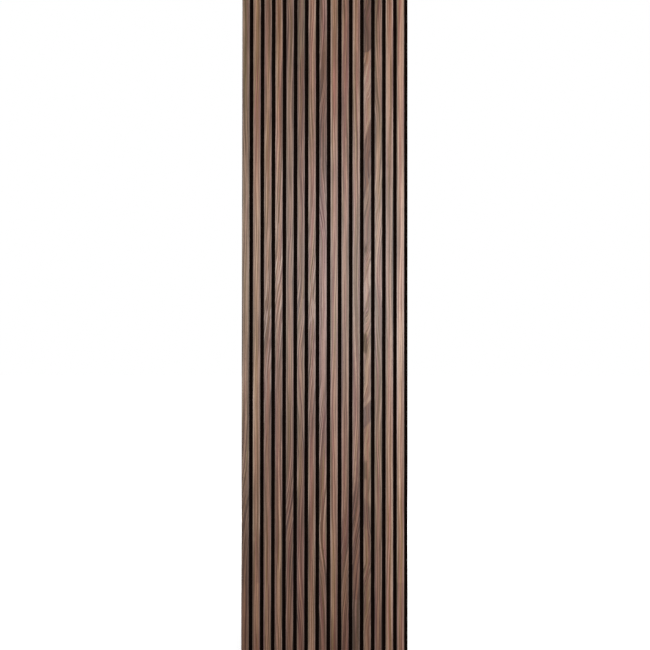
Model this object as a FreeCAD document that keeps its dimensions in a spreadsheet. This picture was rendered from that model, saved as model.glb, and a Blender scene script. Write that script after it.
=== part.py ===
# Acoustic slat wall panel: veneered slats, set at an even pitch, stapled from behind to a sheet of felt.
#
# Frame: millimetres, +Z up the panel, +X across it from left to right as seen from the room, +Y into the wall.
# The origin is the middle of the felt's back face, which lies on the wall. The room side faces -Y.
# The first slat is flush with the felt's left edge. The felt runs on past the last slat by one gap,
# so that the next panel butts against it and the pitch of the slats carries on across the joint.

import FreeCAD
import Part
import Sketcher

import os

PARTS_FOLDER = "parts"

# Driving dimensions: name, value, meaning. Lengths are in millimetres.
DRIVING_DIMENSIONS = (
    ("panel_length", 2400, "length of the felt and of every slat, along Z"),
    ("slat_count", 15, "slats side by side"),
    ("slat_width", 27, "width of a slat across its face"),
    ("slat_gap", 13, "open felt between two slats, and past the last one"),
    ("core_thickness", 11.4, "fibreboard core of a slat"),
    ("veneer_thickness", 0.6, "wood veneer on the face of a slat"),
    ("edge_round", 0.4, "sanded round on the long front edges of the veneer"),
    ("felt_thickness", 9, "pressed polyester felt that carries the slats"),
    ("crown_width", 12.8, "outside width of a staple across its two legs"),
    ("wire_width", 0.95, "flat wire of a staple, along Z"),
    ("wire_thickness", 0.65, "flat wire of a staple, across its bends"),
    ("crown_sink", 0.3, "depth of a staple's crown below the felt's back face"),
    ("point_cover", 4.4, "core left between a staple's points and the veneer"),
    ("point_rake", 0.8, "height of the bevel that sharpens a leg"),
    ("staple_fit", 0.05, "clearance between a staple's wire and the hole that it made"),
    ("staple_rows", 6, "staples along each slat"),
    ("staple_inset", 60, "first and last staple from the ends of a slat"),
)

# Sizes that follow from the driving dimensions, as expressions
SLAT_PITCH = "(Sizes.slat_width + Sizes.slat_gap)"
FELT_WIDTH = f"(Sizes.slat_count * {SLAT_PITCH})"
FIRST_SLAT_X = f"(Sizes.slat_width / 2 - {FELT_WIDTH} / 2)"
FIRST_STAPLE_Z = "(Sizes.staple_inset - Sizes.panel_length / 2)"
STAPLE_RUN = "(Sizes.panel_length - 2 * Sizes.staple_inset)"
SLAT_RUN = f"((Sizes.slat_count - 1) * {SLAT_PITCH})"
HALF_CROWN = "(Sizes.crown_width / 2)"
LEG_BITE = "(Sizes.core_thickness - Sizes.point_cover)"
CROWN_SEAT = "(Sizes.crown_sink + Sizes.wire_thickness)"
WIRE_SLOT = "(Sizes.wire_width + 2 * Sizes.staple_fit)"
LEG_SLOT = "(Sizes.wire_thickness + 2 * Sizes.staple_fit)"
OVERCUT = "Sizes.wire_thickness"
VENEER_ROUND = "min(Sizes.edge_round; 0.9 * Sizes.veneer_thickness)"

VOLUME_TOLERANCE = 1e-6
EDGE_TOLERANCE = 1e-4


def make_sheet(doc):
    """Write the driving dimensions into a spreadsheet, one named cell each."""
    sheet = doc.addObject("Spreadsheet::Sheet", "Sizes")
    for row, (name, value, meaning) in enumerate(DRIVING_DIMENSIONS, start=1):
        sheet.set(f"A{row}", name)
        sheet.set(f"B{row}", str(value))
        sheet.set(f"C{row}", meaning)
        sheet.setAlias(f"B{row}", name)
    doc.recompute()
    return sheet


def origin_feature(body, role):
    """The plane or axis of a body's own origin that has this role."""
    return next(f for f in body.Origin.OriginFeatures if f.Role == role)


def new_body(doc, label, x="0", y="0", z="0"):
    """An empty body with its placement bound to three expressions."""
    body = doc.addObject("PartDesign::Body", label)
    body.Label = label
    for axis, expression in (("x", x), ("y", y), ("z", z)):
        body.setExpression(f"Placement.Base.{axis}", expression)
    return body


def new_sketch(body, name, plane, corners, x="0", z="0"):
    """A sketch on one of the body's planes: a closed outline whose corners are pairs of expressions.

    x and z shift the sketch along the plane's own x axis and along its normal.
    """
    sketch = body.newObject("Sketcher::SketchObject", name)
    sketch.AttachmentSupport = (origin_feature(body, plane), "")
    sketch.MapMode = "FlatFace"
    sketch.setExpression("AttachmentOffset.Base.x", x)
    sketch.setExpression("AttachmentOffset.Base.z", z)
    points = [
        FreeCAD.Vector(float(sketch.evalExpression(u)), float(sketch.evalExpression(v)), 0)
        for u, v in corners
    ]
    count = len(points)
    for i in range(count):
        sketch.addGeometry(Part.LineSegment(points[i], points[(i + 1) % count]))
    for i in range(count):
        sketch.addConstraint(Sketcher.Constraint("Coincident", i, 2, (i + 1) % count, 1))
    for i, (u, v) in enumerate(corners):
        for kind, expression, value in (("DistanceX", u, points[i].x), ("DistanceY", v, points[i].y)):
            index = sketch.addConstraint(Sketcher.Constraint(kind, i, 1, value))
            sketch.setExpression(f"Constraints[{index}]", expression)
    return sketch


def rectangle(left, right, bottom, top):
    """The corners of an upright rectangle, from the expressions of its four sides."""
    return [(left, bottom), (right, bottom), (right, top), (left, top)]


def extrude(body, kind, name, sketch, length, both_ways):
    """A pad or pocket of the sketch, on one side of its plane or half on each side."""
    feature = body.newObject(f"PartDesign::{kind}", name)
    feature.Profile = sketch
    feature.SideType = "Symmetric" if both_ways else "One side"
    feature.setExpression("Length", length)
    return feature


def repeat(body, name, original, across, across_count, along, along_count):
    """A grid of one feature: copies spread over a length across X and over a length along Z."""
    pattern = body.newObject("PartDesign::LinearPattern", name)
    pattern.Originals = [original]
    pattern.Direction = (origin_feature(body, "X_Axis"), [""])
    pattern.Direction2 = (origin_feature(body, "Z_Axis"), [""])
    pattern.setExpression("Length", across)
    pattern.setExpression("Occurrences", across_count)
    pattern.setExpression("Length2", along)
    pattern.setExpression("Occurrences2", along_count)
    body.Tip = pattern
    return pattern


def make_felt(doc):
    """The felt: one sheet with a slot for every staple, from the crown's seat through to the slats."""
    body = new_body(doc, "felt_backing")
    half_width = f"{FELT_WIDTH} / 2"
    half_length = "Sizes.panel_length / 2"
    outline = rectangle(f"-{half_width}", half_width, f"-{half_length}", half_length)
    sheet_sketch = new_sketch(body, "FeltSheet", "XZ_Plane", outline)
    extrude(body, "Pad", "FeltPad", sheet_sketch, "Sizes.felt_thickness", both_ways=False)
    outer = f"({HALF_CROWN} + Sizes.staple_fit)"
    inner = f"({HALF_CROWN} - Sizes.wire_thickness - Sizes.staple_fit)"
    back = OVERCUT
    front = f"(-Sizes.felt_thickness - {OVERCUT})"
    seat = f"-{CROWN_SEAT}"
    slot_outline = [
        (f"-{outer}", back),
        (f"-{outer}", front),
        (f"-{inner}", front),
        (f"-{inner}", seat),
        (inner, seat),
        (inner, front),
        (outer, front),
        (outer, back),
    ]
    slot_sketch = new_sketch(body, "StapleSlot", "XY_Plane", slot_outline, FIRST_SLAT_X, FIRST_STAPLE_Z)
    slot = extrude(body, "Pocket", "StapleSlotCut", slot_sketch, WIRE_SLOT, both_ways=True)
    repeat(body, "StapleSlots", slot, SLAT_RUN, "Sizes.slat_count", STAPLE_RUN, "Sizes.staple_rows")
    return body


def make_slat_core(doc, index):
    """A slat's fibreboard core: a square-edged strip with two blind holes for the legs of each staple."""
    slat_x = f"{FIRST_SLAT_X} + {index} * {SLAT_PITCH}"
    body = new_body(doc, f"slat_core_{index + 1:02d}", x=slat_x, y="-Sizes.felt_thickness")
    half_width = "Sizes.slat_width / 2"
    section = rectangle(f"-{half_width}", half_width, "-Sizes.core_thickness", "0")
    section_sketch = new_sketch(body, "CoreSection", "XY_Plane", section)
    extrude(body, "Pad", "CorePad", section_sketch, "Sizes.panel_length", both_ways=True)
    left = f"(-{HALF_CROWN} - Sizes.staple_fit)"
    leg_outline = rectangle(left, f"{left} + {LEG_SLOT}", f"-{LEG_BITE}", OVERCUT)
    leg_sketch = new_sketch(body, "StapleLeg", "XY_Plane", leg_outline, z=FIRST_STAPLE_Z)
    leg = extrude(body, "Pocket", "StapleLegCut", leg_sketch, WIRE_SLOT, both_ways=True)
    leg_spacing = "Sizes.crown_width - Sizes.wire_thickness"
    repeat(body, "StapleLegs", leg, leg_spacing, "2", STAPLE_RUN, "Sizes.staple_rows")
    return body


def front_edges(shape, front_y):
    """Names of the straight edges that run along Z in the plane y = front_y."""
    names = []
    for number, edge in enumerate(shape.Edges, start=1):
        ends = [vertex.Point for vertex in edge.Vertexes]
        in_front = all(abs(point.y - front_y) < EDGE_TOLERANCE for point in ends)
        upright = abs(ends[0].x - ends[-1].x) < EDGE_TOLERANCE
        if in_front and upright:
            names.append(f"Edge{number}")
    return names


def make_slat_veneer(doc, sheet, index):
    """The veneer on a slat's face: a thin strip as wide as the core, with its two long front edges sanded round."""
    slat_x = f"{FIRST_SLAT_X} + {index} * {SLAT_PITCH}"
    core_face_y = "-Sizes.felt_thickness - Sizes.core_thickness"
    body = new_body(doc, f"slat_veneer_{index + 1:02d}", x=slat_x, y=core_face_y)
    half_width = "Sizes.slat_width / 2"
    section = rectangle(f"-{half_width}", half_width, "-Sizes.veneer_thickness", "0")
    section_sketch = new_sketch(body, "VeneerSection", "XY_Plane", section)
    pad = extrude(body, "Pad", "VeneerPad", section_sketch, "Sizes.panel_length", both_ways=True)
    doc.recompute()
    fillet = body.newObject("PartDesign::Fillet", "SandedEdges")
    fillet.Base = (pad, front_edges(pad.Shape, -float(sheet.veneer_thickness)))
    fillet.setExpression("Radius", VENEER_ROUND)
    body.Tip = fillet
    return body


def make_staples(doc):
    """All the staples, as separate solids: a crown sunk in the felt's back and two bevelled legs in the core."""
    body = new_body(doc, "staples", x=FIRST_SLAT_X, z=FIRST_STAPLE_Z)
    outer = HALF_CROWN
    inner = f"({HALF_CROWN} - Sizes.wire_thickness)"
    back = "-Sizes.crown_sink"
    seat = f"-{CROWN_SEAT}"
    point = f"(-Sizes.felt_thickness - {LEG_BITE})"
    heel = f"({point} + Sizes.point_rake)"
    outline = [
        (f"-{outer}", back),
        (f"-{outer}", point),
        (f"-{inner}", heel),
        (f"-{inner}", seat),
        (inner, seat),
        (inner, heel),
        (outer, point),
        (outer, back),
    ]
    sketch = new_sketch(body, "StapleOutline", "XY_Plane", outline)
    staple = extrude(body, "Pad", "Staple", sketch, "Sizes.wire_width", both_ways=True)
    repeat(body, "Staples", staple, SLAT_RUN, "Sizes.slat_count", STAPLE_RUN, "Sizes.staple_rows")
    return body


def check_volume(body, expected):
    """Stop if a sub-part's volume isn't what its sizes give, as when a cut has missed the solid."""
    volume = body.Shape.Volume
    if abs(volume - expected) > VOLUME_TOLERANCE * expected:
        raise ValueError(f"{body.Label} has a volume of {volume:.3f} mm3, and not {expected:.3f}")


def check_cuts(sheet, felt, cores):
    """Compare the felt and the cores with their blanks less the staples' slots and holes."""
    value = {name: float(sheet.get(name)) for name, _, _ in DRIVING_DIMENSIONS}
    slat_count = int(value["slat_count"])
    rows = int(value["staple_rows"])
    pitch = value["slat_width"] + value["slat_gap"]
    wire_slot = value["wire_width"] + 2 * value["staple_fit"]
    leg_slot = value["wire_thickness"] + 2 * value["staple_fit"]
    seat_depth = value["crown_sink"] + value["wire_thickness"]
    slot_width = value["crown_width"] + 2 * value["staple_fit"]
    slot_area = slot_width * seat_depth + 2 * leg_slot * (value["felt_thickness"] - seat_depth)
    felt_blank = slat_count * pitch * value["panel_length"] * value["felt_thickness"]
    check_volume(felt, felt_blank - slat_count * rows * slot_area * wire_slot)
    bite = value["core_thickness"] - value["point_cover"]
    core_blank = value["slat_width"] * value["core_thickness"] * value["panel_length"]
    for core in cores:
        check_volume(core, core_blank - 2 * rows * leg_slot * wire_slot * bite)


def check_document(doc, bodies):
    """Stop if any object failed to recompute, or any sub-part has no valid shape."""
    for item in doc.Objects:
        if "Invalid" in item.State or "Error" in item.State:
            raise ValueError(f"{item.Label} failed to recompute: {item.State}")
    for body in bodies:
        if body.Shape.isNull() or not body.Shape.isValid() or not body.Shape.Solids:
            raise ValueError(f"{body.Label} has no valid solid")


def main():
    """Build the panel and write one STEP file for each sub-part."""
    doc = FreeCAD.newDocument("SlatPanel")
    sheet = make_sheet(doc)
    slat_count = int(sheet.slat_count)
    felt = make_felt(doc)
    cores = [make_slat_core(doc, index) for index in range(slat_count)]
    veneers = [make_slat_veneer(doc, sheet, index) for index in range(slat_count)]
    staples = make_staples(doc)
    doc.recompute()
    bodies = [felt, *cores, *veneers, staples]
    check_document(doc, bodies)
    check_cuts(sheet, felt, cores)
    os.makedirs(PARTS_FOLDER, exist_ok=True)
    for body in bodies:
        body.Shape.exportStep(os.path.join(PARTS_FOLDER, f"{body.Label}.step"))
        print(f"{body.Label}: {len(body.Shape.Solids)} solid(s), {body.Shape.Volume / 1000:.2f} cm3")


main()
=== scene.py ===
"""Looks of the acoustic slat wall panel: walnut-veneered slats on a sheet of black felt, in a white studio.

Lengths in the panel's classes are millimetres, as a joiner would write them, and become metres where a
mesh is made. The panel faces -Y, with +Z up along the slats and +X to the right as seen from the room.
"""

import logging
import math
from dataclasses import dataclass
from enum import Enum
from typing import Callable, Iterable

import bpy
from bpy.types import Material, NodeSocket, NodeTree, Object
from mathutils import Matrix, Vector


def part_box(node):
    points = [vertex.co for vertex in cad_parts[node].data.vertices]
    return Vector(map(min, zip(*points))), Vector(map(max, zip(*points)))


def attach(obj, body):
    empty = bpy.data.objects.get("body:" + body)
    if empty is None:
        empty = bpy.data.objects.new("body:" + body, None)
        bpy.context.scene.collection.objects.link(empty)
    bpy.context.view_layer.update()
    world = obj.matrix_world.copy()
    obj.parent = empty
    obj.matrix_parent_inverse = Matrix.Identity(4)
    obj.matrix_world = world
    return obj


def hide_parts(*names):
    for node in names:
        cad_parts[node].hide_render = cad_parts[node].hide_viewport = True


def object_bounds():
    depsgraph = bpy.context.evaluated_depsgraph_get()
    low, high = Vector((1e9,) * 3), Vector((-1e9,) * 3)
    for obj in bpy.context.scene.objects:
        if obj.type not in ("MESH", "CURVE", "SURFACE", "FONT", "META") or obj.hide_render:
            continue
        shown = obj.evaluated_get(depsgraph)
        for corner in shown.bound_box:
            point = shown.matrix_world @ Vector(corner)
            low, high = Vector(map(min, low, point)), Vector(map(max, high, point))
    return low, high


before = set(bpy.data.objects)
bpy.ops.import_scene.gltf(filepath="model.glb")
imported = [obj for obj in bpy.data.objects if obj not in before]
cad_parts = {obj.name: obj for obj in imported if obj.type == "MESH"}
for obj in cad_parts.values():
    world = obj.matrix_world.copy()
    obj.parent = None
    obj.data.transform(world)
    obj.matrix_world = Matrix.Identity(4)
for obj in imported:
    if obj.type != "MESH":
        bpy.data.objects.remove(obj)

CAD_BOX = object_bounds()
MM = 0.001
SLAT_COUNT = sum(name.startswith("slat_core_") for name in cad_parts)
LOG = logging.getLogger("slat_panel")
WHITE = "#FFFFFF"

# Heights past the panel's ends, in millimetres from its middle, for a stretch of veneer that runs out there
FOOT, HEAD = -1300.0, 1300.0

# Numbers of the Mix node's sockets when it mixes colours
MIX_FACTOR, MIX_A, MIX_B, MIX_RESULT = 0, 6, 7, 2

Colour = tuple[float, float, float, float]
Levels = tuple[float, float]
Plug = NodeSocket | float | tuple


def linear(hex_colour: str) -> Colour:
    """Turn an sRGB hex colour into the linear colour that a shader takes.

    Args:
        hex_colour: The colour as "#RRGGBB".

    Returns:
        Red, green, blue and an alpha of 1.
    """
    channels = [int(hex_colour[start:start + 2], 16) / 255 for start in (1, 3, 5)]
    red, green, blue = (c / 12.92 if c <= 0.04045 else ((c + 0.055) / 1.055) ** 2.4 for c in channels)
    return red, green, blue, 1.0


def add_node(
    tree: NodeTree,
    kind: str,
    plugs: dict[int | str, Plug] | tuple[Plug, ...] = (),
    output: int | str = 0,
    **settings: object,
) -> NodeSocket | None:
    """Add a shader node with its settings, values and links.

    Args:
        tree: The node tree to add to.
        kind: The node's type, without the ShaderNode that every type starts with.
        plugs: What goes into the inputs, by name or in their order. Another node's output is linked, and
            anything else is set as the input's value.
        output: The output to return.
        **settings: Properties of the node itself.

    Returns:
        The chosen output, to plug into the next node, or None from a node that ends its tree.
    """
    node = tree.nodes.new("ShaderNode" + kind)
    for name, value in settings.items():
        setattr(node, name, value)
    for name, value in plugs.items() if isinstance(plugs, dict) else enumerate(plugs):
        if isinstance(value, NodeSocket):
            tree.links.new(value, node.inputs[name])
        else:
            node.inputs[name].default_value = value
    return node.outputs[output] if node.outputs else None


def new_material(name: str) -> Material:
    """Make a material with an empty node tree.

    Args:
        name: The material's name.

    Returns:
        The material, ready for its nodes.
    """
    material = bpy.data.materials.new(name)
    material.use_nodes = True
    material.node_tree.nodes.clear()
    return material


def dress(piece: Object, material: Material) -> None:
    """Put one material on all of a piece.

    Args:
        piece: The mesh object.
        material: The material for its only slot.
    """
    if not piece.material_slots:
        piece.data.materials.append(material)
    piece.material_slots[0].material = material


class Element(Enum):
    """What can be selected on a mesh, with the mesh's own name for its list of them."""

    FACE = "polygons"
    EDGE = "edges"
    VERT = "vertices"


def pick(piece: Object, kind: Element, wanted: Callable[[list[Vector]], bool]) -> None:
    """Select faces, edges or points of a piece in edit mode, and nothing else.

    Args:
        piece: The mesh object, in edit mode.
        kind: What to select.
        wanted: Says from the places of its corners whether one is selected. A point has one corner.
    """
    bpy.ops.mesh.select_mode(type=kind.name)
    bpy.ops.mesh.select_all(action="DESELECT")
    bpy.ops.object.mode_set(mode="OBJECT")
    points = piece.data.vertices
    for element in getattr(piece.data, kind.value):
        corners = [element.index] if kind is Element.VERT else element.vertices
        element.select = wanted([points[corner].co for corner in corners])
    bpy.ops.object.mode_set(mode="EDIT")


@dataclass(frozen=True)
class Palette:
    """The four colours of one kind of walnut, as sRGB hex values.

    Attributes:
        dark: The darkest growth lines.
        body: The wood between the lines, tan side.
        blush: The wood between the lines, pink side.
        light: The palest growth lines.
    """

    dark: str
    body: str
    blush: str
    light: str


class Tone(Enum):
    """The shades of walnut that the leaves of veneer show."""

    PALE = Palette(dark="#69432C", body="#8B6A45", blush="#986657", light="#B8927D")
    TAN = Palette(dark="#573722", body="#785D3A", blush="#85564B", light="#A6826D")
    BROWN = Palette(dark="#4A2D1B", body="#6E5233", blush="#7A4D44", light="#9C7862")
    GREY = Palette(dark="#442B19", body="#654E34", blush="#6D4C43", light="#8E6F5F")
    PLUM = Palette(dark="#4A2C20", body="#694F39", blush="#774B47", light="#957267")
    OLIVE = Palette(dark="#422D1B", body="#625133", blush="#6C4C41", light="#876D59")
    HONEY = Palette(dark="#5B3A22", body="#82623E", blush="#8C5C48", light="#AE896C")
    SAPWOOD = Palette(dark="#805B42", body="#AD876E", blush="#A78171", light="#C6AA95")
    SAND = Palette(dark="#5A3E28", body="#7E6243", blush="#84634D", light="#AC8D74")
    SMOKE = Palette(dark="#311A0F", body="#4A3320", blush="#4F3429", light="#664C39")
    UMBER = Palette(dark="#3F2115", body="#5C3E27", blush="#643C32", light="#7E5743")
    RUST = Palette(dark="#3C1700", body="#542604", blush="#58290A", light="#6E3D1A")
    KNOT = Palette(dark="#38270F", body="#533D20", blush="#583F28", light="#725A3C")


@dataclass(frozen=True)
class Grain:
    """How growth rings run through a leaf of veneer. Lengths are millimetres.

    Attributes:
        pith_offset: Distance of the log's heart from the slat's middle, across its face.
        slant: Run of the grain across the slat for each millimetre along it, where it leans most.
        lean_run: Length of slat over which it leans, to either side of that place.
        wander: How far the grain weaves across the slat.
        pith_depth: Mean depth of the heart behind the face.
        depth_swing: How far that depth changes along the slat, which draws arches.
        wander_run: Length of slat over which the grain weaves.
        waver: Small unsteadiness of each growth line.
        line_width: Width of a growth line.
        contrast: How strongly dark and light lines stand out.
        gleam: How much painted glare shows on thin lines where the grain leans, from 0 to 1: a pale
            highlight in the colour.
    """

    pith_offset: float
    slant: float
    lean_run: float
    wander: float
    pith_depth: float = 30.0
    depth_swing: float = 24.0
    wander_run: float = 620.0
    waver: float = 1.6
    line_width: float = 5.0
    contrast: float = 1.1
    gleam: float = 0.1


class Figure(Enum):
    """The figures that walnut leaves show, from the way they were cut from the log."""

    STRAIGHT = Grain(
        pith_offset=220, pith_depth=40, depth_swing=10, slant=-0.01, lean_run=600, wander=7, waver=1.2,
        line_width=5.5, contrast=0.95,
    )
    LEANING = Grain(pith_offset=150, slant=-0.12, lean_run=280, wander=9, gleam=0.55)
    RAKED = Grain(pith_offset=170, slant=-0.17, lean_run=190, wander=8, contrast=1.15)
    ARCHED = Grain(
        pith_offset=40, pith_depth=26, depth_swing=56, slant=-0.02, lean_run=500, wander=12, wander_run=460,
        waver=2.2, line_width=5.5, gleam=0.2,
    )
    SWIRLED = Grain(
        pith_offset=190, pith_depth=18, depth_swing=50, slant=-0.17, lean_run=600, wander=20, wander_run=260,
        waver=7.0, line_width=6.0, contrast=0.85, gleam=0.15,
    )


@dataclass(frozen=True)
class Zone:
    """A stretch of a leaf with another shade: a second leaf past a joint, a band of sapwood or a dark patch.

    Attributes:
        low: Height of its lower edge from the panel's middle, in millimetres.
        high: Height of its upper edge.
        tone: Its shade.
        slope: How far its edges climb for each millimetre towards the right.
        fade: Half the height over which an edge fades. A joint between leaves is sharp.
        strength: How much of the shade it takes, from 0 to 1.
        side: -1 keeps it to the slat's left half, 1 to its right half, and 0 runs it right across.
    """

    low: float
    high: float
    tone: Tone
    slope: float = 0.0
    fade: float = 60.0
    strength: float = 1.0
    side: int = 0


@dataclass(frozen=True)
class Leaf:
    """The veneer of one slat.

    Attributes:
        tone: Its main shade.
        figure: The run of its grain.
        shade: Factor on its brightness.
        lean_height: Height at which its grain leans most, from the panel's middle, in millimetres.
        zones: Stretches with a shade of their own, each over the ones before it.
    """

    tone: Tone
    figure: Figure
    shade: float
    lean_height: float = 200.0
    zones: tuple[Zone, ...] = ()


def place_in_mm(tree: NodeTree, middle: Iterable[float] = (0.0, 0.0, 0.0)) -> NodeSocket:
    """Give each point's place on a piece in millimetres.

    Args:
        tree: The material's node tree.
        middle: The point to measure from, in metres.

    Returns:
        The place.
    """
    plugs = {
        "Vector": add_node(tree, "TexCoord", output="Object"),
        "Location": tuple(-coordinate / MM for coordinate in middle),
        "Scale": (1 / MM, 1 / MM, 1 / MM),
    }
    return add_node(tree, "Mapping", plugs)


@dataclass(frozen=True)
class Mark:
    """A kind of mark in a material, drawn as noise of a real size. Lengths are millimetres.

    Attributes:
        width: Its size across the panel and through it.
        run: Its length along the slats.
        detail: Finer layers in it.
        seed: A number that sets it apart from other marks.
        roughness: How much each finer layer adds.
        tangle: How far it is pulled out of shape.
    """

    width: float
    run: float
    detail: float = 1.0
    seed: float = 0.0
    roughness: float = 0.65
    tangle: float = 0.0

    def draw(self, tree: NodeTree, place: NodeSocket, seed: float = 0.0) -> NodeSocket:
        """Draw the mark all over a piece.

        Args:
            tree: The material's node tree.
            place: Each point's place, in millimetres.
            seed: A number that sets this piece apart from others.

        Returns:
            The noise, about 0.5 in the mean.
        """
        scale, shift = (1 / self.width, 1 / self.width, 1 / self.run), (0.0, self.seed + seed, 0.0)
        plugs = {
            "Vector": add_node(tree, "Mapping", {"Vector": place, "Scale": scale, "Location": shift}),
            "Scale": 1.0,
            "Detail": self.detail,
            "Roughness": self.roughness,
            "Distortion": self.tangle,
        }
        return add_node(tree, "TexNoise", plugs)


@dataclass(frozen=True)
class VeneerFace:
    """A slat's face in the node tree of its veneer. Lengths are millimetres.

    Attributes:
        tree: The node tree.
        seed: A number that sets the slat's marks apart from its neighbours'.
        across: Place across the face, from the slat's middle.
        along: Place along it, from the panel's middle.
        flat: Both, as one place.
        lean: How far the grain has come through its lean: 0 where it leans most, nearing -1 below that place
            and 1 above it.
    """

    tree: NodeTree
    seed: float
    across: NodeSocket
    along: NodeSocket
    flat: NodeSocket
    lean: NodeSocket


@dataclass(frozen=True)
class WalnutVeneer:
    """Finish of one slat's face: sliced walnut, sanded and satin lacquered.

    The eye sees growth lines a few millimetres wide that run the length of the slat in pink, tan and
    grey browns, short dark pores along them, and a broad soft gloss from the lacquer.

    A mark's levels are the levels of its noise at which it starts to show and shows in full. Its shades are
    the factors on the brightness that it swings between.

    Attributes:
        leaf: The shade and figure of this slat.
        centre: The middle of the slat's face, in metres.
        width: The width of the face, in metres.
        number: The slat's number, which sets it apart from its neighbours.
    """

    leaf: Leaf
    centre: Vector
    width: float
    number: int
    seed_step: float = 17.3
    line_run: float = 480.0
    line_detail: float = 3.0
    light_line_levels: Levels = (0.5, 0.64)
    dark_line_levels: Levels = (0.5, 0.36)
    dark_line_strength: float = 0.8
    streak: Mark = Mark(3.0, 420.0, seed=5.3)
    light_streak_levels: Levels = (0.585, 0.635)
    light_streak_strength: float = 0.85
    dark_streak_levels: Levels = (0.42, 0.37)
    dark_streak_strength: float = 0.65
    band: Mark = Mark(7.0, 650.0, seed=3.7)
    blush_levels: Levels = (0.41, 0.59)
    # A painted highlight: pale glare mixed into the colour on thin lines where the grain leans
    gleam: Mark = Mark(4.2, 130.0, seed=18.7)
    gleam_levels: Levels = (0.55, 0.6)
    painted_glare: str = "#BBA092"
    cloud: Mark = Mark(40.0, 210.0, detail=2.0, seed=7.1)
    cloud_shades: Levels = (0.89, 1.11)
    fibre: Mark = Mark(0.9, 60.0, detail=2.0, seed=9.9)
    fibre_shades: Levels = (0.88, 1.12)
    # Between these levels lies nearly all of a noise
    noise_span: Levels = (0.25, 0.75)
    # Pores are 0.2 mm wide in the wood, and drawn twice as wide to show
    pore: Mark = Mark(0.4, 8.0, detail=0.0, seed=12.3)
    pore_levels: Levels = (0.64, 0.74)
    pore_shade: float = 0.6
    ring_spacing: float = 6.5
    ring_depth: float = 0.115
    # The years' rings come closer and wider apart, by a few years in all
    spread: Mark = Mark(13.0, 380.0, seed=55.0)
    spread_years: float = 4.0
    waver: Mark = Mark(14.0, 90.0, seed=42.0)
    weave_seed: float = 20.0
    depth_seed: float = 31.0
    # The heart's depth changes more slowly along the slat than the grain weaves
    depth_stretch: float = 1.4
    # A zone's edge is torn, by a little more than it fades
    tear: Mark = Mark(7.0, 30.0, detail=2.0)
    tear_share: float = 1.2
    # Places across the slat between which a zone on its right half comes in
    side_fade: Levels = (-3.0, 4.0)
    # Darker to each long edge: the black core of the eased edge, and painted shade by the gaps
    arris: float = 1.6
    darkest_edge: float = 0.1
    edge_core_and_painted_shade: float = 0.2
    # The colour is richest inside this share of the half width, and greyer towards the edges
    rich_share: float = 0.25
    richness: Levels = (1.03, 0.74)
    lacquer_ior: float = 1.4
    lacquer_roughness: float = 0.39
    dullness: float = 0.25
    relief: float = 0.04
    relief_strength: float = 0.5

    def build(self) -> Material:
        """Make the material: satin lacquer over open pores, which is dull where the wood drinks it.

        Returns:
            The material for this slat's veneer.
        """
        material = new_material(f"walnut_veneer_{self.number:02d}")
        tree = material.node_tree
        face = self._lay_out(tree)
        rings = self._rings(face)
        grain = add_node(tree, "CombineXYZ", (rings, 0.0, face.along))
        line = Mark(self.leaf.figure.value.line_width, self.line_run, self.line_detail)
        lines, bands, streaks, gleams, spreads, fibres, pores = (
            mark.draw(tree, grain, face.seed)
            for mark in (line, self.band, self.streak, self.gleam, self.spread, self.fibre, self.pore)
        )
        pores = add_node(tree, "MapRange", (pores, *self.pore_levels))
        dull = pores
        colour = self._shades(tree, self.leaf.tone.value, lines, bands, streaks)
        for zone in self.leaf.zones:
            mask = self._zone_mask(face, zone)
            shades = self._shades(tree, zone.tone.value, lines, bands, streaks)
            plugs = {MIX_FACTOR: mask, MIX_A: colour, MIX_B: shades}
            colour = add_node(tree, "Mix", plugs, MIX_RESULT, data_type="RGBA")
            if zone.tone is Tone.KNOT:
                dull = add_node(tree, "Math", (dull, mask), operation="MAXIMUM")
        # Painted highlight: the pale glare colour mixed in on thin lines where the grain leans
        plugs = {MIX_FACTOR: self._painted_glare_share(face, gleams), MIX_A: colour, MIX_B: linear(self.painted_glare)}
        colour = add_node(tree, "Mix", plugs, MIX_RESULT, data_type="RGBA")
        growth = self._growth(tree, rings, spreads, face.seed)
        colour = self._light_and_shade(face, colour, growth, fibres, pores)
        height = add_node(tree, "Math", (fibres, pores), operation="SUBTRACT")
        plugs = {"Height": height, "Strength": self.relief_strength, "Distance": self.relief * MM}
        bump = add_node(tree, "Bump", plugs)
        rough = self.lacquer_roughness
        gloss = add_node(tree, "MapRange", (dull, 0.0, 1.0, rough, rough + self.dullness))
        plugs = {"Base Color": colour, "Roughness": gloss, "IOR": self.lacquer_ior, "Normal": bump}
        add_node(tree, "OutputMaterial", {"Surface": add_node(tree, "BsdfPrincipled", plugs)})
        return material

    def _lay_out(self, tree: NodeTree) -> VeneerFace:
        """Lay out the slat's face.

        Args:
            tree: The material's node tree.

        Returns:
            The face.
        """
        place = place_in_mm(tree, self.centre)
        across, along = (add_node(tree, "SeparateXYZ", (place,), axis) for axis in "XZ")
        flat = add_node(tree, "CombineXYZ", (across, 0.0, along))
        run = self.leaf.figure.value.lean_run
        plugs = (along, 1 / run, -self.leaf.lean_height / run)
        height = add_node(tree, "Math", plugs, operation="MULTIPLY_ADD")
        lean = add_node(tree, "Math", (height,), operation="TANH")
        return VeneerFace(tree, self.number * self.seed_step, across, along, flat, lean)

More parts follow.
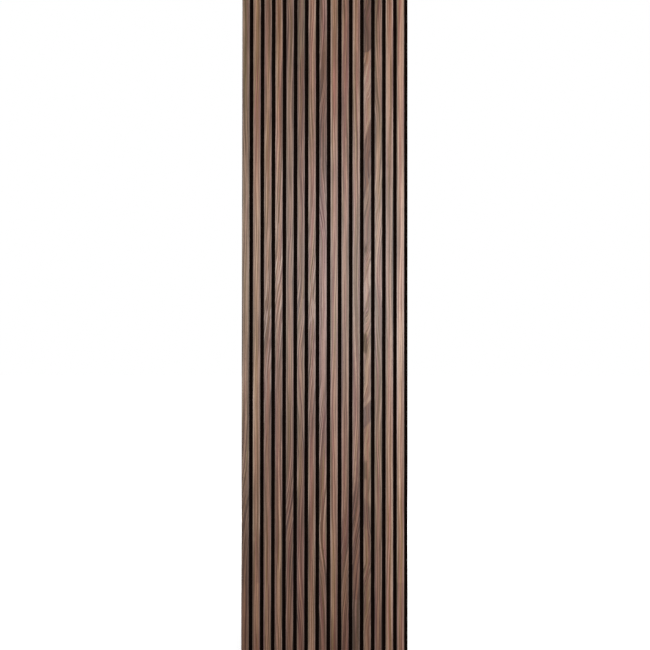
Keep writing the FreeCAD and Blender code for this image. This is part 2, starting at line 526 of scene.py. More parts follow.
    def _rings(self, face: VeneerFace) -> NodeSocket:
        """Work out how far each point lies from the heart of the log, which is what growth lines follow.

        Args:
            face: The slat's face.

        Returns:
            The distance from the heart, in millimetres.
        """
        tree, grain = face.tree, self.leaf.figure.value
        height = add_node(tree, "CombineXYZ", (0.0, 0.0, face.along))
        plugs = (face.lean, grain.slant * grain.lean_run, grain.pith_offset)
        drift = add_node(tree, "Math", plugs, operation="MULTIPLY_ADD")
        side = add_node(tree, "Math", (face.across, drift), operation="ADD")
        weave = Mark(1.0, grain.wander_run, seed=self.weave_seed).draw(tree, height, face.seed)
        waver = self.waver.draw(tree, face.flat, face.seed)
        for noise, reach in ((weave, 2 * grain.wander), (waver, grain.waver)):
            shift = add_node(tree, "MapRange", (noise, 0.0, 1.0, -reach, reach), clamp=False)
            side = add_node(tree, "Math", (side, shift), operation="ADD")
        slow = Mark(1.0, self.depth_stretch * grain.wander_run, detail=0.0, seed=self.depth_seed)
        swing = slow.draw(tree, height, face.seed)
        plugs = (swing, 2 * grain.depth_swing, grain.pith_depth - grain.depth_swing)
        depth = add_node(tree, "Math", plugs, operation="MULTIPLY_ADD")
        from_heart = add_node(tree, "CombineXYZ", (side, depth, 0.0))
        return add_node(tree, "VectorMath", (from_heart,), "Value", operation="LENGTH")

    def _shades(
        self, tree: NodeTree, palette: Palette, lines: NodeSocket, bands: NodeSocket, streaks: NodeSocket
    ) -> NodeSocket:
        """Mix one kind of walnut from its four colours.

        Args:
            tree: The node tree.
            palette: The colours.
            lines: Noise that follows the growth lines.
            bands: Broader noise that goes from tan to pink.
            streaks: Finer noise, for thin crisp lines.

        Returns:
            The colour.
        """
        contrast = self.leaf.figure.value.contrast
        colour = linear(palette.body)
        for noise, levels, strength, shade in (
            (bands, self.blush_levels, 1.0, palette.blush),
            (lines, self.light_line_levels, contrast, palette.light),
            (lines, self.dark_line_levels, self.dark_line_strength * contrast, palette.dark),
            (streaks, self.light_streak_levels, self.light_streak_strength * contrast, palette.light),
            (streaks, self.dark_streak_levels, self.dark_streak_strength * contrast, palette.dark),
        ):
            amount = add_node(tree, "MapRange", (noise, *levels, 0.0, strength))
            plugs = {MIX_FACTOR: amount, MIX_A: colour, MIX_B: linear(shade)}
            colour = add_node(tree, "Mix", plugs, MIX_RESULT, data_type="RGBA")
        return colour

    def _zone_mask(self, face: VeneerFace, zone: Zone) -> NodeSocket:
        """Mark where a zone lies on the slat.

        Args:
            face: The slat's face.
            zone: The zone.

        Returns:
            The zone's strength inside it, and 0 outside.
        """
        tree, fade = face.tree, zone.fade
        torn = self.tear.draw(tree, face.flat, face.seed + zone.low)
        reach = self.tear_share * fade
        tear = add_node(tree, "MapRange", (torn, 0.0, 1.0, -reach, reach), clamp=False)
        climb = add_node(tree, "Math", (face.across, -zone.slope, face.along), operation="MULTIPLY_ADD")
        height = add_node(tree, "Math", (tear, climb), operation="ADD")
        limits = [
            (height, zone.low - fade, zone.low + fade, 0.0, zone.strength),
            (height, zone.high - fade, zone.high + fade, 1.0, 0.0),
        ]
        if zone.side:
            limits.append((face.across, *(zone.side * place for place in self.side_fade)))
        mask = 1.0
        for limit in limits:
            inside = add_node(tree, "MapRange", limit, interpolation_type="SMOOTHSTEP")
            mask = add_node(tree, "Math", (mask, inside), operation="MULTIPLY")
        return mask

    def _painted_glare_share(self, face: VeneerFace, gleams: NodeSocket) -> NodeSocket:
        """Mark thin lines where the grain leans, for a painted highlight where fibres run out of the face.

        Args:
            face: The slat's face.
            gleams: Noise of the thin lines.

        Returns:
            The share of painted glare, 0 between the lines.
        """
        lines = add_node(face.tree, "MapRange", (gleams, *self.gleam_levels))
        away = add_node(face.tree, "Math", (face.lean, face.lean), operation="MULTIPLY")
        amount = add_node(face.tree, "MapRange", (away, 0.0, 1.0, self.leaf.figure.value.gleam, 0.0))
        return add_node(face.tree, "Math", (amount, lines), operation="MULTIPLY")

    def _growth(self, tree: NodeTree, rings: NodeSocket, spreads: NodeSocket, seed: float) -> NodeSocket:
        """Darken each year's ring towards its late wood, which ends in a sharp line.

        Args:
            tree: The node tree.
            rings: Distance from the heart, in millimetres.
            spreads: Noise that sets the rings wider and closer.
            seed: The slat's own number.

        Returns:
            A factor on the brightness, 1 in the mean.
        """
        years = add_node(tree, "Math", (rings, 1 / self.ring_spacing, seed), operation="MULTIPLY_ADD")
        years = add_node(tree, "Math", (spreads, self.spread_years, years), operation="MULTIPLY_ADD")
        season = add_node(tree, "Math", (years,), operation="FRACT")
        depth = self.ring_depth * self.leaf.figure.value.contrast
        return add_node(tree, "MapRange", (season, 0.0, 1.0, 1 + depth, 1 - depth))

    def _light_and_shade(
        self, face: VeneerFace, colour: NodeSocket, growth: NodeSocket, fibres: NodeSocket, pores: NodeSocket
    ) -> NodeSocket:
        """Vary brightness by clouds, rings, fibres and pores; grey the edges, darken them as bare core and
        painted shade.

        Args:
            face: The slat's face.
            colour: The colour of the grain.
            growth: Factor on the brightness through each year's ring.
            fibres: Fine noise along the grain.
            pores: 1 in a pore, and 0 elsewhere.

        Returns:
            The finished colour.
        """
        tree, half = face.tree, self.width / MM / 2
        clouds = self.cloud.draw(tree, face.flat, face.seed)
        from_middle = add_node(tree, "Math", (face.across,), operation="ABSOLUTE")
        factor = growth
        for plugs in (
            (clouds, *self.noise_span, *(self.leaf.shade * shade for shade in self.cloud_shades)),
            (fibres, *self.noise_span, *self.fibre_shades),
            (pores, 0.0, 1.0, 1.0, self.pore_shade),
            # Painted shade by the gaps, with the black core of the eased edge: darker to each long edge
            (from_middle, half - self.arris, half - self.darkest_edge, 1.0, self.edge_core_and_painted_shade),
        ):
            part = add_node(tree, "MapRange", plugs)
            factor = add_node(tree, "Math", (factor, part), operation="MULTIPLY")
        richness = add_node(tree, "MapRange", (from_middle, self.rich_share * half, half, *self.richness))
        colour = add_node(tree, "HueSaturation", {"Saturation": richness, "Color": colour})
        return add_node(tree, "VectorMath", {"Vector": colour, "Scale": factor}, operation="SCALE")


@dataclass(frozen=True)
class DyedFibreboard:
    """Finish of the slats' cores: fibreboard dyed black right through, sawn and left bare.

    The eye sees a dull brown-black with short pale fibres in it, and fine saw lines along the sides.
    """

    dark: str = "#170F0A"
    pale: str = "#30241C"
    # Fibres are 0.1 mm wide in the board, and drawn several times as wide to show
    fibre: Mark = Mark(0.6, 3.5, detail=3.0, roughness=0.5)
    fibre_levels: Levels = (0.5, 0.78)
    cloud: Mark = Mark(25.0, 25.0, detail=2.0, roughness=0.5)
    cloud_levels: Levels = (0.3, 0.7)
    cloud_shades: Levels = (0.8, 1.2)
    saw_line: Mark = Mark(1.6, 32.0, roughness=0.5)
    relief: float = 0.08
    relief_strength: float = 0.6
    gloss_levels: Levels = (0.2, 0.8)
    roughness: Levels = (0.85, 0.7)

    def build(self) -> Material:
        """Make the material.

        Returns:
            The material for the slats' cores.
        """
        material = new_material("dyed_fibreboard")
        tree = material.node_tree
        place = place_in_mm(tree)
        side = add_node(tree, "VectorMath", (place, (0.0, 1.0, 1.0)), operation="MULTIPLY")
        fibres, clouds = (mark.draw(tree, place) for mark in (self.fibre, self.cloud))
        pale = add_node(tree, "MapRange", (fibres, *self.fibre_levels))
        plugs = {MIX_FACTOR: pale, MIX_A: linear(self.dark), MIX_B: linear(self.pale)}
        colour = add_node(tree, "Mix", plugs, MIX_RESULT, data_type="RGBA")
        level = add_node(tree, "MapRange", (clouds, *self.cloud_levels, *self.cloud_shades))
        colour = add_node(tree, "VectorMath", {"Vector": colour, "Scale": level}, operation="SCALE")
        height = add_node(tree, "Math", (fibres, self.saw_line.draw(tree, side)), operation="ADD")
        plugs = {"Height": height, "Strength": self.relief_strength, "Distance": self.relief * MM}
        bump = add_node(tree, "Bump", plugs)
        rough = add_node(tree, "MapRange", (fibres, *self.gloss_levels, *self.roughness))
        plugs = {"Base Color": colour, "Roughness": rough, "Normal": bump}
        add_node(tree, "OutputMaterial", {"Surface": add_node(tree, "BsdfPrincipled", plugs)})
        return material


@dataclass(frozen=True)
class PressedFelt:
    """Finish of the backing: black polyester fibres, needled and hot-pressed into a stiff felt.

    The eye sees a deep dull black with a heather of grey fibres, tiny pits from the needles, and a faint
    pale bloom of fuzz where it is seen at a low angle.
    """

    black: str = "#080302"
    heather: str = "#2C1F17"
    # Fibres are 0.03 mm thick in the felt, and drawn as strands many times as thick to show
    strand: Mark = Mark(2.0, 2.0, detail=6.0, roughness=0.5, tangle=3.0)
    strand_levels: Levels = (0.54, 0.72)
    tuft: Mark = Mark(3.0, 3.0, detail=4.0, roughness=0.5, tangle=1.2)
    cloud: Mark = Mark(45.0, 45.0, detail=3.0, roughness=0.5)
    cloud_levels: Levels = (0.3, 0.7)
    cloud_shades: Levels = (0.75, 1.25)
    relief: float = 0.5
    relief_strength: float = 0.8
    shine: float = 0.02
    fuzz: float = 0.12
    fuzz_colour: str = "#8A6A58"
    fuzz_roughness: float = 0.6

    def build(self) -> Material:
        """Make the material.

        Returns:
            The material for the felt sheet.
        """
        material = new_material("pressed_felt")
        tree = material.node_tree
        place = place_in_mm(tree)
        strands, tufts, clouds = (mark.draw(tree, place) for mark in (self.strand, self.tuft, self.cloud))
        grey = add_node(tree, "MapRange", (strands, *self.strand_levels))
        plugs = {MIX_FACTOR: grey, MIX_A: linear(self.black), MIX_B: linear(self.heather)}
        colour = add_node(tree, "Mix", plugs, MIX_RESULT, data_type="RGBA")
        level = add_node(tree, "MapRange", (clouds, *self.cloud_levels, *self.cloud_shades))
        colour = add_node(tree, "VectorMath", {"Vector": colour, "Scale": level}, operation="SCALE")
        height = add_node(tree, "Math", (tufts, strands), operation="ADD")
        plugs = {"Height": height, "Strength": self.relief_strength, "Distance": self.relief * MM}
        bump = add_node(tree, "Bump", plugs)
        plugs = {
            "Base Color": colour,
            "Roughness": 1.0,
            "Specular IOR Level": self.shine,
            "Sheen Weight": self.fuzz,
            "Sheen Roughness": self.fuzz_roughness,
            "Sheen Tint": linear(self.fuzz_colour),
            "Normal": bump,
        }
        add_node(tree, "OutputMaterial", {"Surface": add_node(tree, "BsdfPrincipled", plugs)})
        return material


@dataclass(frozen=True)
class GalvanisedWire:
    """Finish of the staples: drawn steel wire with a zinc coat.

    The eye sees a cool grey metal, a little dull, with drawing lines along the wire.
    """

    dark: str = "#8E9194"
    bright: str = "#C6C9CB"
    line_width: float = 0.12
    line_run: float = 6.0
    gloss_levels: Levels = (0.3, 0.7)
    roughness: Levels = (0.3, 0.48)

    def build(self) -> Material:
        """Make the material.

        Returns:
            The material for the staples.
        """
        material = new_material("galvanised_wire")
        tree = material.node_tree
        place = add_node(tree, "TexCoord", output="Object")
        width, run = (1 / (size * MM) for size in (self.line_width, self.line_run))
        point = add_node(tree, "Mapping", {"Vector": place, "Scale": (run, width, width)})
        lines = add_node(tree, "TexNoise", {"Vector": point, "Scale": 1.0, "Detail": 2.0})
        plugs = {MIX_FACTOR: lines, MIX_A: linear(self.dark), MIX_B: linear(self.bright)}
        colour = add_node(tree, "Mix", plugs, MIX_RESULT, data_type="RGBA")
        rough = add_node(tree, "MapRange", (lines, *self.gloss_levels, *self.roughness))
        plugs = {"Base Color": colour, "Metallic": 1.0, "Roughness": rough}
        add_node(tree, "OutputMaterial", {"Surface": add_node(tree, "BsdfPrincipled", plugs)})
        return material


def seen_by_eye(tree: NodeTree) -> NodeSocket:
    """Tell rays that show a background from rays that light a surface.

    Args:
        tree: The node tree of a world or a stage material.

    Returns:
        1 for rays from the camera, off a mirror or through glass, and 0 for the rest.
    """
    camera, glossy, clear = (
        add_node(tree, "LightPath", output=f"Is {kind} Ray") for kind in ("Camera", "Glossy", "Transmission")
    )
    either = add_node(tree, "Math", (camera, glossy), operation="MAXIMUM")
    return add_node(tree, "Math", (either, clear), operation="MAXIMUM")


@dataclass(frozen=True)
class StudioFloor:
    """Finish of the floor: matt white paper that a camera sees as white, with the panel's shadow on it.

    Attributes:
        paper: The paper's own colour.
        lift_near: Glow that the camera sees by the panel, on top of the light that falls there.
        lift_far: Glow that it sees far off, where no lamp reaches.
        near: Distance from the panel's middle up to which the floor keeps lift_near, in metres.
        far: Distance from which it has lift_far.
    """

    paper: str = "#C8C8C8"
    lift_near: float = 0.45
    lift_far: float = 1.0
    near: float = 1.0
    far: float = 3.0

    def build(self) -> Material:
        """Make the material.

        Returns:
            The material for the floor.
        """
        material = new_material("white_paper")
        tree = material.node_tree
        paper = add_node(tree, "BsdfDiffuse", {"Color": linear(self.paper)})
        place = add_node(tree, "TexCoord", output="Object")
        away = add_node(tree, "VectorMath", (place,), "Value", operation="LENGTH")
        lift = add_node(tree, "MapRange", (away, self.near, self.far, self.lift_near, self.lift_far))
        glow = add_node(tree, "Math", (seen_by_eye(tree), lift), operation="MULTIPLY")
        shine = add_node(tree, "Emission", {"Color": linear(WHITE), "Strength": glow})
        add_node(tree, "OutputMaterial", {"Surface": add_node(tree, "AddShader", (paper, shine))})
        return material


@dataclass(frozen=True)
class Softbox:
    """One soft lamp. Lengths are metres.

    Attributes:
        name: The lamp's name.
        place: Its middle.
        aim: The point that it faces.
        width: Its width.
        height: Its height.
        power: Its power in watts.
    """

    name: str
    place: tuple[float, float, float]
    aim: tuple[float, float, float]
    width: float
    height: float
    power: float

    def build(self) -> None:
        """Hang the lamp."""
        lamp = bpy.data.lights.new(self.name, "AREA")
        lamp.shape = "RECTANGLE"
        lamp.size = self.width
        lamp.size_y = self.height
        lamp.energy = self.power
        holder = bpy.data.objects.new(self.name, lamp)
        bpy.context.scene.collection.objects.link(holder)
        holder.location = self.place
        facing = Vector(self.aim) - Vector(self.place)
        holder.rotation_euler = facing.to_track_quat("-Z", "Y").to_euler()
        holder.visible_camera = False


@dataclass
class Studio:
    """The white studio: a paper floor, soft lamps before and behind the panel, and the camera.

    Lengths are metres.

    Attributes:
        ambient: Level of the light from all around, where 1 shows a colour as it is written.
        floor_reach: Half the floor's side.
        film_width: Width of the camera's film, in millimetres.
        camera_distance: From the camera to the slats' faces.
        seen_height: Height of the panel that the picture takes in.
        look_up: Tilt of the camera above the horizon, in degrees.
        roll: Turn of the camera about its own line of sight, in degrees.
        sideways: Place of the camera to the right of the panel's middle.
        floor: The floor's finish.
        softboxes: The lamps.
    """

    ambient: float = 0.19
    floor_reach: float = 30.0
    film_width: float = 36.0
    camera_distance: float = 4.0
    seen_height: float = 2.349
    look_up: float = 0.72
    roll: float = -0.05
    sideways: float = 0.0008
    floor: StudioFloor = StudioFloor()
    softboxes: tuple[Softbox, ...] = (
        Softbox("key_softbox", (0.5, -3.0, 0.36), (0.0, 0.0, 0.30), width=1.2, height=1.2, power=66.5),
        Softbox("top_softbox", (0.1, -1.1, 2.6), (0.0, 0.0, 0.5), width=1.4, height=0.6, power=11.0),
        Softbox("rear_softbox", (-1.6, 3.2, 1.6), (0.0, 0.0, 0.0), width=1.6, height=1.6, power=160.0),
        Softbox("rear_fill", (2.4, 2.6, 0.8), (0.0, 0.0, 0.0), width=1.4, height=1.4, power=80.0),
    )

    def build(self) -> None:
        """Set up the studio."""
        self._build_world()
        self._build_floor()
        for softbox in self.softboxes:
            softbox.build()
            LOG.info("lamp %s, %.0f W", softbox.name, softbox.power)
        self._build_camera()
        bpy.context.scene.view_settings.view_transform = "Standard"

    def _build_world(self) -> None:
        """Light the studio evenly from all around, and show it as white."""
        world = bpy.data.worlds.new("white_studio")
        world.use_nodes = True
        tree = world.node_tree
        tree.nodes.clear()
        level = add_node(tree, "MapRange", (seen_by_eye(tree), 0.0, 1.0, self.ambient, 1.0))
        light = add_node(tree, "Background", {"Color": linear(WHITE), "Strength": level})
        add_node(tree, "OutputWorld", {"Surface": light})
        bpy.context.scene.world = world

    def _build_floor(self) -> None:
        """Lay the paper floor under the panel's lower end."""
        bpy.ops.object.select_all(action="DESELECT")
        bpy.ops.mesh.primitive_plane_add(size=2 * self.floor_reach, location=(0.0, 0.0, CAD_BOX[0].z))
        floor = bpy.context.object
        floor.name = "paper_floor"
        dress(floor, self.floor.build())

    def _build_camera(self) -> None:
        """Stand the camera square to the slats, low enough to look up at the panel's middle."""
        camera = bpy.data.cameras.new("camera")
        camera.sensor_width = self.film_width
        camera.lens = self.film_width * self.camera_distance / self.seen_height
        holder = bpy.data.objects.new("camera", camera)
        bpy.context.scene.collection.objects.link(holder)
        tilt = math.radians(self.look_up)
        drop = self.camera_distance * math.tan(tilt)
        holder.location = (self.sideways, CAD_BOX[0].y - self.camera_distance, -drop)
        holder.rotation_euler = (math.radians(90.0) + tilt, math.radians(self.roll), 0.0)
        bpy.context.scene.camera = holder


@dataclass
class SlatFaces:
    """The veneered faces of the slats, which are fixed parts with a leaf of walnut each.

    Attributes:
        leaves: The leaves, from left to right.
    """

    leaves: tuple[Leaf, ...] = (
        Leaf(Tone.OLIVE, Figure.RAKED, shade=1.16, lean_height=-620, zones=(
            Zone(-420, 420, Tone.SAPWOOD, fade=140, strength=0.12),
            Zone(FOOT, -560, Tone.SMOKE, fade=160),
            Zone(FOOT, -960, Tone.UMBER, fade=120, strength=0.6),
        )),
        Leaf(Tone.TAN, Figure.STRAIGHT, shade=1.15, zones=(
            Zone(-800, 520, Tone.SAND, fade=120, strength=0.8),
            Zone(FOOT, -780, Tone.UMBER, fade=60, strength=0.6),
            Zone(FOOT, -929, Tone.HONEY, fade=3, strength=0.5, side=1),
        )),
        Leaf(Tone.BROWN, Figure.LEANING, shade=1.02, lean_height=-10, zones=(
            Zone(400, 780, Tone.PALE, fade=120, strength=0.7),
            Zone(-480, 60, Tone.UMBER, fade=140, strength=0.5),
        )),
        Leaf(Tone.BROWN, Figure.LEANING, shade=1.08, zones=(
            Zone(560, HEAD, Tone.PALE, fade=100, strength=0.55),
            Zone(-480, 20, Tone.UMBER, fade=120, strength=0.45),
            Zone(-940, -500, Tone.TAN, fade=120, strength=0.8),
        )),
        Leaf(Tone.BROWN, Figure.RAKED, shade=0.965, lean_height=-690, zones=(
            Zone(100, HEAD, Tone.GREY, fade=140, strength=0.7),
            Zone(-480, -220, Tone.TAN, fade=100, strength=0.8),
            Zone(FOOT, -600, Tone.UMBER, slope=3, fade=120, strength=0.7),
        )),
        Leaf(Tone.BROWN, Figure.ARCHED, shade=0.92, zones=(
            Zone(960, HEAD, Tone.OLIVE, slope=4),
            Zone(640, 960, Tone.UMBER, slope=4, fade=40, strength=0.8),
            Zone(-470, -240, Tone.SMOKE, fade=80, strength=0.35),
            Zone(FOOT, -960, Tone.UMBER, slope=4, fade=60, strength=0.5),
        )),
        Leaf(Tone.TAN, Figure.LEANING, shade=1.0, lean_height=40, zones=(
            Zone(-460, 0, Tone.UMBER, fade=120, strength=0.5),
        )),
        Leaf(Tone.PLUM, Figure.ARCHED, shade=1.05, zones=(
            Zone(520, 1000, Tone.UMBER, slope=4, strength=0.8),
            Zone(-860, -440, Tone.TAN, fade=80),
            Zone(FOOT, -860, Tone.UMBER, fade=80, strength=0.6),
        )),
        Leaf(Tone.TAN, Figure.STRAIGHT, shade=1.04, zones=(
            Zone(700, 940, Tone.PALE, fade=80, strength=0.6),
            Zone(FOOT, 330, Tone.BROWN, fade=120, strength=0.5),
        )),
        Leaf(Tone.BROWN, Figure.RAKED, shade=1.06, lean_height=-860, zones=(
            Zone(FOOT, -640, Tone.UMBER, slope=4, fade=90, strength=0.8),
        )),
        Leaf(Tone.TAN, Figure.RAKED, shade=0.97, lean_height=-730, zones=(
            Zone(-1080, -540, Tone.UMBER, slope=2, fade=90),
            Zone(FOOT, -990, Tone.GREY, fade=3),
        )),
        Leaf(Tone.HONEY, Figure.SWIRLED, shade=0.82, zones=(
            Zone(988, HEAD, Tone.UMBER, fade=2, strength=0.95),
            Zone(701, 988, Tone.PALE, slope=1, fade=3),
            Zone(701, 930, Tone.SAPWOOD, slope=1, fade=30, strength=0.45),
            Zone(495, 704, Tone.RUST, slope=4, fade=12, strength=0.95),
            Zone(250, 495, Tone.RUST, slope=3, fade=30, strength=0.45),
            Zone(250, 282, Tone.KNOT, slope=-2, fade=8, strength=0.4, side=-1),
            Zone(100, 190, Tone.SAPWOOD, slope=4, fade=6),
            Zone(20, 96, Tone.BROWN, slope=4, fade=20, strength=0.6),
            Zone(-100, -30, Tone.KNOT, fade=8, strength=0.9, side=-1),
            Zone(-285, -264, Tone.SAPWOOD, slope=1.2, fade=4, strength=0.35),
            Zone(-362, -285, Tone.UMBER, slope=1.2, fade=6),
            Zone(-556, -492, Tone.KNOT, fade=8, strength=0.8, side=-1),
            Zone(-740, -640, Tone.UMBER, slope=-2, fade=20, strength=0.7),
            Zone(FOOT, -860, Tone.BROWN, fade=40, strength=0.5),
        )),
        Leaf(Tone.TAN, Figure.ARCHED, shade=0.9, zones=(
            Zone(700, HEAD, Tone.UMBER, slope=3, fade=80, strength=0.4),
            Zone(200, 720, Tone.HONEY, slope=3, fade=100, strength=0.6),
            Zone(-120, 20, Tone.GREY, slope=3, strength=0.35),
            Zone(FOOT, -560, Tone.BROWN, fade=120),
            Zone(FOOT, -980, Tone.UMBER, fade=60, strength=0.4),
        )),
        Leaf(Tone.PALE, Figure.STRAIGHT, shade=0.96, zones=(
            Zone(-40, 600, Tone.BROWN, fade=120, strength=0.85),
        )),
        Leaf(Tone.PALE, Figure.STRAIGHT, shade=1.06, zones=(
            Zone(640, HEAD, Tone.TAN, fade=200, strength=0.5),
            Zone(-560, -20, Tone.SAPWOOD, fade=120, strength=0.7),
            Zone(FOOT, -640, Tone.TAN, fade=120, strength=0.5),
            Zone(FOOT, -929, Tone.BROWN, fade=3, strength=0.6),
        )),
    )

    def dress(self) -> None:
        """Put each slat's own walnut on its face."""
        for number, leaf in enumerate(self.leaves, start=1):
            node = f"slat_veneer_{number:02d}"
            low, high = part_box(node)
            finish = WalnutVeneer(leaf, (low + high) / 2, high.x - low.x, number)
            dress(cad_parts[node], finish.build())
            LOG.info("%s: %s, %s", node, leaf.tone.name, leaf.figure.name)


@dataclass
class SlatCores:
    """The fibreboard cores of the slats, which are fixed parts.

    Attributes:
        finish: The fibreboard.
    """

    finish: DyedFibreboard = DyedFibreboard()

    def dress(self) -> None:
        """Put bare dyed fibreboard on every core."""
        material = self.finish.build()
        for number in range(1, SLAT_COUNT + 1):
            dress(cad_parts[f"slat_core_{number:02d}"], material)
        LOG.info("slat cores: %d", SLAT_COUNT)


@dataclass
class Staples:
    """The staples that hold the slats from behind: flat wire, bent square, with chisel points. Millimetres.

    Attributes:
        crown_width: Outside width of a staple across its legs.
        wire_width: Width of the flat wire.
        wire_thickness: Its thickness.
        point_rake: Height of the bevel that sharpens a leg.
        bend_round: Outside round of the two bends.
        bend_steps: Flats that make up a bend's round.
        wire_round: Round of the wire's own edges.
        crease: Angle in degrees from which an edge looks sharp.
        row_count: Staples along each slat.
        finish: The wire.
    """

    crown_width: float = 12.8
    wire_width: float = 0.95
    wire_thickness: float = 0.65
    point_rake: float = 0.8
    bend_round: float = 0.5
    bend_steps: int = 3
    wire_round: float = 0.1
    crease: float = 35.0
    row_count: int = 6
    finish: GalvanisedWire = GalvanisedWire()

    def columns(self) -> list[float]:
        """Give the middle of each slat's crowns across the panel, in metres, from left to right."""
        cores = (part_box(f"slat_core_{number:02d}") for number in range(1, SLAT_COUNT + 1))
        return [(low.x + high.x) / 2 for low, high in cores]

    def rows(self) -> list[float]:
        """Work out the heights of the rows of staples.

        Returns:
            The middle of each row's crowns up the panel, in metres, from the bottom.
        """
        low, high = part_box("staples")
        first = low.z + self.wire_width * MM / 2
        step = (high.z - low.z - self.wire_width * MM) / (self.row_count - 1)
        return [first + row * step for row in range(self.row_count)]

    def build(self) -> Object:
        """Model one staple and repeat it over the panel.

        Returns:
            All the staples, as one piece.
        """
        low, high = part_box("staples")
        columns, rows = self.columns(), self.rows()
        crown = Vector((self.crown_width, self.wire_thickness, self.wire_width)) * MM
        x, y = columns[0], high.y - crown.y / 2
        bpy.ops.object.select_all(action="DESELECT")
        bpy.ops.mesh.primitive_cube_add(size=1.0, location=(x, y, rows[0]), scale=crown)
        wire = bpy.context.object
        wire.name = "staple_wires"
        bpy.ops.object.transform_apply(location=True, rotation=True, scale=True)
        self._bend_legs(wire, x, y, leg=high.y - low.y - crown.y)
        rounding = wire.modifiers.new("wire_round", "BEVEL")
        rounding.width = self.wire_round * MM
        rounding.segments = 1
        for name, count, offset in (
            ("columns", SLAT_COUNT, (columns[1] - columns[0], 0, 0)),
            ("rows", self.row_count, (0, 0, rows[1] - rows[0])),
        ):
            array = wire.modifiers.new(name, "ARRAY")
            array.count = count
            array.use_relative_offset = False
            array.use_constant_offset = True
            array.constant_offset_displace = offset
        for modifier in ("wire_round", "columns", "rows"):
            bpy.ops.object.modifier_apply(modifier=modifier)
        bpy.ops.object.shade_smooth_by_angle(angle=math.radians(self.crease))
        return wire

    def _bend_legs(self, wire: Object, x: float, y: float, leg: float) -> None:
        """Draw the legs out of the crown's ends, sharpen them and round the bends.

        Args:
            wire: The crown, as a block.
            x: Middle of the crown across the panel, in metres.
            y: Its middle through the panel.
            leg: Length of the legs in front of the crown.
        """
        thickness = self.wire_thickness * MM
        inner = self.crown_width * MM / 2 - thickness
        leg_middle = y - (thickness + leg) / 2

        def outer(point: Vector) -> bool:
            """Tell the outer side of a leg from its inner side."""
            return abs(point.x - x) > inner + thickness / 2

        def behind(point: Vector) -> bool:
            """Tell the back of a leg, its inner side included, from the rest of the wire."""
            return point.y > y and abs(point.x - x) > inner - thickness / 2

        bpy.ops.object.mode_set(mode="EDIT")
        for side in (-inner, inner):
            bpy.ops.mesh.select_all(action="SELECT")
            bpy.ops.mesh.bisect(plane_co=(x + side, 0, 0), plane_no=(1, 0, 0))
        pick(wire, Element.FACE, lambda face: all(p.y < y for p in face) and any(map(outer, face)))
        bpy.ops.mesh.extrude_region_move(TRANSFORM_OT_translate={"value": (0, -leg, 0)})
        pick(wire, Element.VERT, lambda tip: tip[0].y < leg_middle and not outer(tip[0]))
        bpy.ops.transform.translate(value=(0, self.point_rake * MM, 0))
        pick(wire, Element.EDGE, lambda edge: all(map(behind, edge)) and edge[0].z != edge[1].z)
        bpy.ops.mesh.bevel(offset=self.bend_round * MM, segments=self.bend_steps)
        bpy.ops.object.mode_set(mode="OBJECT")

    def dress(self, wire: Object) -> None:
        """Put galvanised wire on the staples, in place of the plain ones.

        Args:
            wire: The staples.
        """
        dress(wire, self.finish.build())
        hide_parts("staples")
        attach(wire, "root")
        LOG.info("%s: %d faces", wire.name, len(wire.data.polygons))


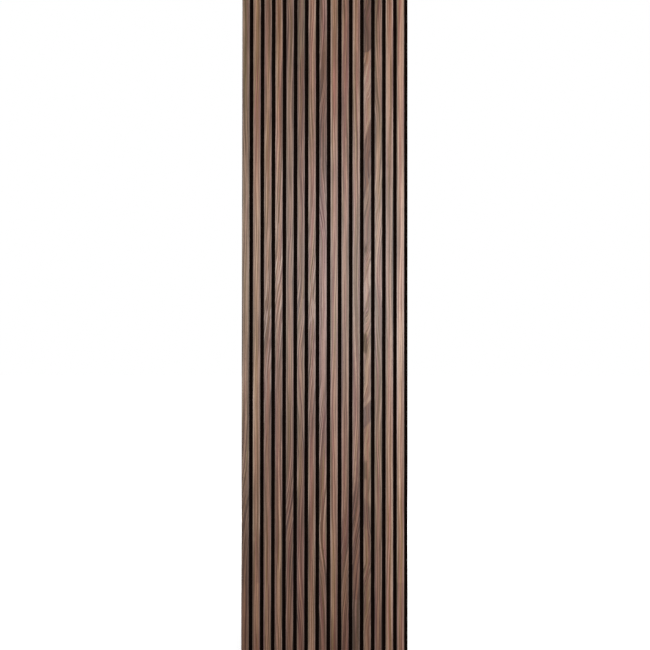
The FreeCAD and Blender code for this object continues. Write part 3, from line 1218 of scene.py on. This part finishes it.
@dataclass
class FeltBacking:
    """The felt sheet: a pressed slab with soft cut edges, drawn in where each staple bites. Millimetres.

    Attributes:
        staples: The staples that bite into its back.
        edge_round: Round of the cut edges.
        pucker_depth: How deep a crown draws the felt in.
        pucker_reach: How far from a crown the felt is drawn in.
        nap: Unevenness of the pressed surface.
        nap_size: Size of its hollows.
        crease: Angle in degrees from which an edge looks sharp.
        lines_beside: Distances from the end of a crown at which the mesh gets a line up the panel.
        lines_above: Distances from a crown at which it gets a line across the panel.
        lines_apart: Spacing of its lines between the rows of staples.
        finish: The felt.
    """

    staples: Staples
    edge_round: float = 0.8
    pucker_depth: float = 0.95
    pucker_reach: float = 6.0
    nap: float = 0.5
    nap_size: float = 30.0
    crease: float = 50.0
    lines_beside: tuple[float, ...] = (-2.0, 0.6, 2.5, 5.5)
    lines_above: tuple[float, ...] = (0.8, 2.5, 5.0, 9.0)
    lines_apart: float = 60.0
    finish: PressedFelt = PressedFelt()

    def build(self) -> Object:
        """Model the sheet.

        Returns:
            The sheet.
        """
        low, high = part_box("felt_backing")
        bpy.ops.object.select_all(action="DESELECT")
        bpy.ops.mesh.primitive_cube_add(size=1.0, location=(low + high) / 2, scale=high - low)
        sheet = bpy.context.object
        sheet.name = "felt_sheet"
        bpy.ops.object.transform_apply(location=True, rotation=True, scale=True)
        bpy.ops.object.mode_set(mode="EDIT")
        bpy.ops.mesh.select_all(action="SELECT")
        bpy.ops.mesh.bevel(offset=self.edge_round * MM, segments=2)
        cuts = [((place, 0, 0), (1, 0, 0)) for place in self._cuts_across()]
        cuts += [((0, 0, place), (0, 0, 1)) for place in self._cuts_up(low.z, high.z)]
        for place, normal in cuts:
            bpy.ops.mesh.select_all(action="SELECT")
            bpy.ops.mesh.bisect(plane_co=place, plane_no=normal)
        bpy.ops.object.mode_set(mode="OBJECT")
        self._draw_in(sheet, high.y)
        self._press(sheet)
        bpy.ops.object.shade_smooth_by_angle(angle=math.radians(self.crease))
        return sheet

    def _cuts_across(self) -> list[float]:
        """Place the mesh's upright lines across the panel, beside the ends of the crowns, in metres."""
        half = self.staples.crown_width / 2
        ends = [side * (half + away) for away in self.lines_beside for side in (-1, 1)]
        return [x + end * MM for x in self.staples.columns() for end in ends]

    def _cuts_up(self, bottom: float, top: float) -> list[float]:
        """Place the mesh's level lines up the panel: close by each row of staples, and evenly between.

        Args:
            bottom: Height of the sheet's lower end, in metres.
            top: Height of its upper end.

        Returns:
            The heights, in metres.
        """
        rows = self.staples.rows()
        close = [z + side * away * MM for z in rows for away in self.lines_above for side in (-1, 1)]
        steps = round((top - bottom) / (self.lines_apart * MM))
        even = [bottom + (top - bottom) * step / steps for step in range(1, steps)]
        clear = 2 * max(self.lines_above) * MM
        return close + [z for z in even if min(abs(z - row) for row in rows) > clear]

    def _draw_in(self, sheet: Object, back: float) -> None:
        """Draw the back of the felt in round every crown.

        Args:
            sheet: The sheet.
            back: Place of its back face, in metres.
        """
        group = sheet.vertex_groups.new(name="pucker")
        half, reach = self.staples.crown_width * MM / 2, self.pucker_reach * MM
        columns, rows = self.staples.columns(), self.staples.rows()
        for vertex in sheet.data.vertices:
            if back - vertex.co.y > self.edge_round * MM / 2:
                continue
            beside = max(0.0, min(abs(vertex.co.x - x) for x in columns) - half)
            above = min(abs(vertex.co.z - z) for z in rows)
            weight = math.exp(-(beside ** 2 + above ** 2) / (reach / 2) ** 2)
            group.add([vertex.index], weight, "REPLACE")
        pull = sheet.modifiers.new("pucker", "DISPLACE")
        pull.direction = "Y"
        pull.mid_level = 0.0
        pull.strength = -self.pucker_depth * MM
        pull.vertex_group = group.name
        bpy.ops.object.modifier_apply(modifier=pull.name)

    def _press(self, sheet: Object) -> None:
        """Leave the faces and cut edges a little uneven, as pressing does.

        Args:
            sheet: The sheet.
        """
        hollows = bpy.data.textures.new("felt_nap", "CLOUDS")
        hollows.noise_scale = self.nap_size * MM
        hollows.noise_depth = 1
        uneven = sheet.modifiers.new("nap", "DISPLACE")
        uneven.texture = hollows
        uneven.texture_coords = "LOCAL"
        uneven.mid_level = 0.5
        uneven.strength = self.nap * MM
        bpy.ops.object.modifier_apply(modifier=uneven.name)

    def dress(self, sheet: Object) -> None:
        """Put felt on the sheet, in place of the plain one.

        Args:
            sheet: The sheet.
        """
        dress(sheet, self.finish.build())
        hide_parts("felt_backing")
        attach(sheet, "root")
        LOG.info("%s: %d faces", sheet.name, len(sheet.data.polygons))


def main() -> None:
    """Build the studio and dress the panel."""
    logging.basicConfig(level=logging.INFO, format="%(name)s: %(message)s")
    Studio().build()
    staples = Staples()
    staples.dress(staples.build())
    felt = FeltBacking(staples)
    felt.dress(felt.build())
    SlatCores().dress()
    SlatFaces().dress()


if __name__ == "__main__":
    main()
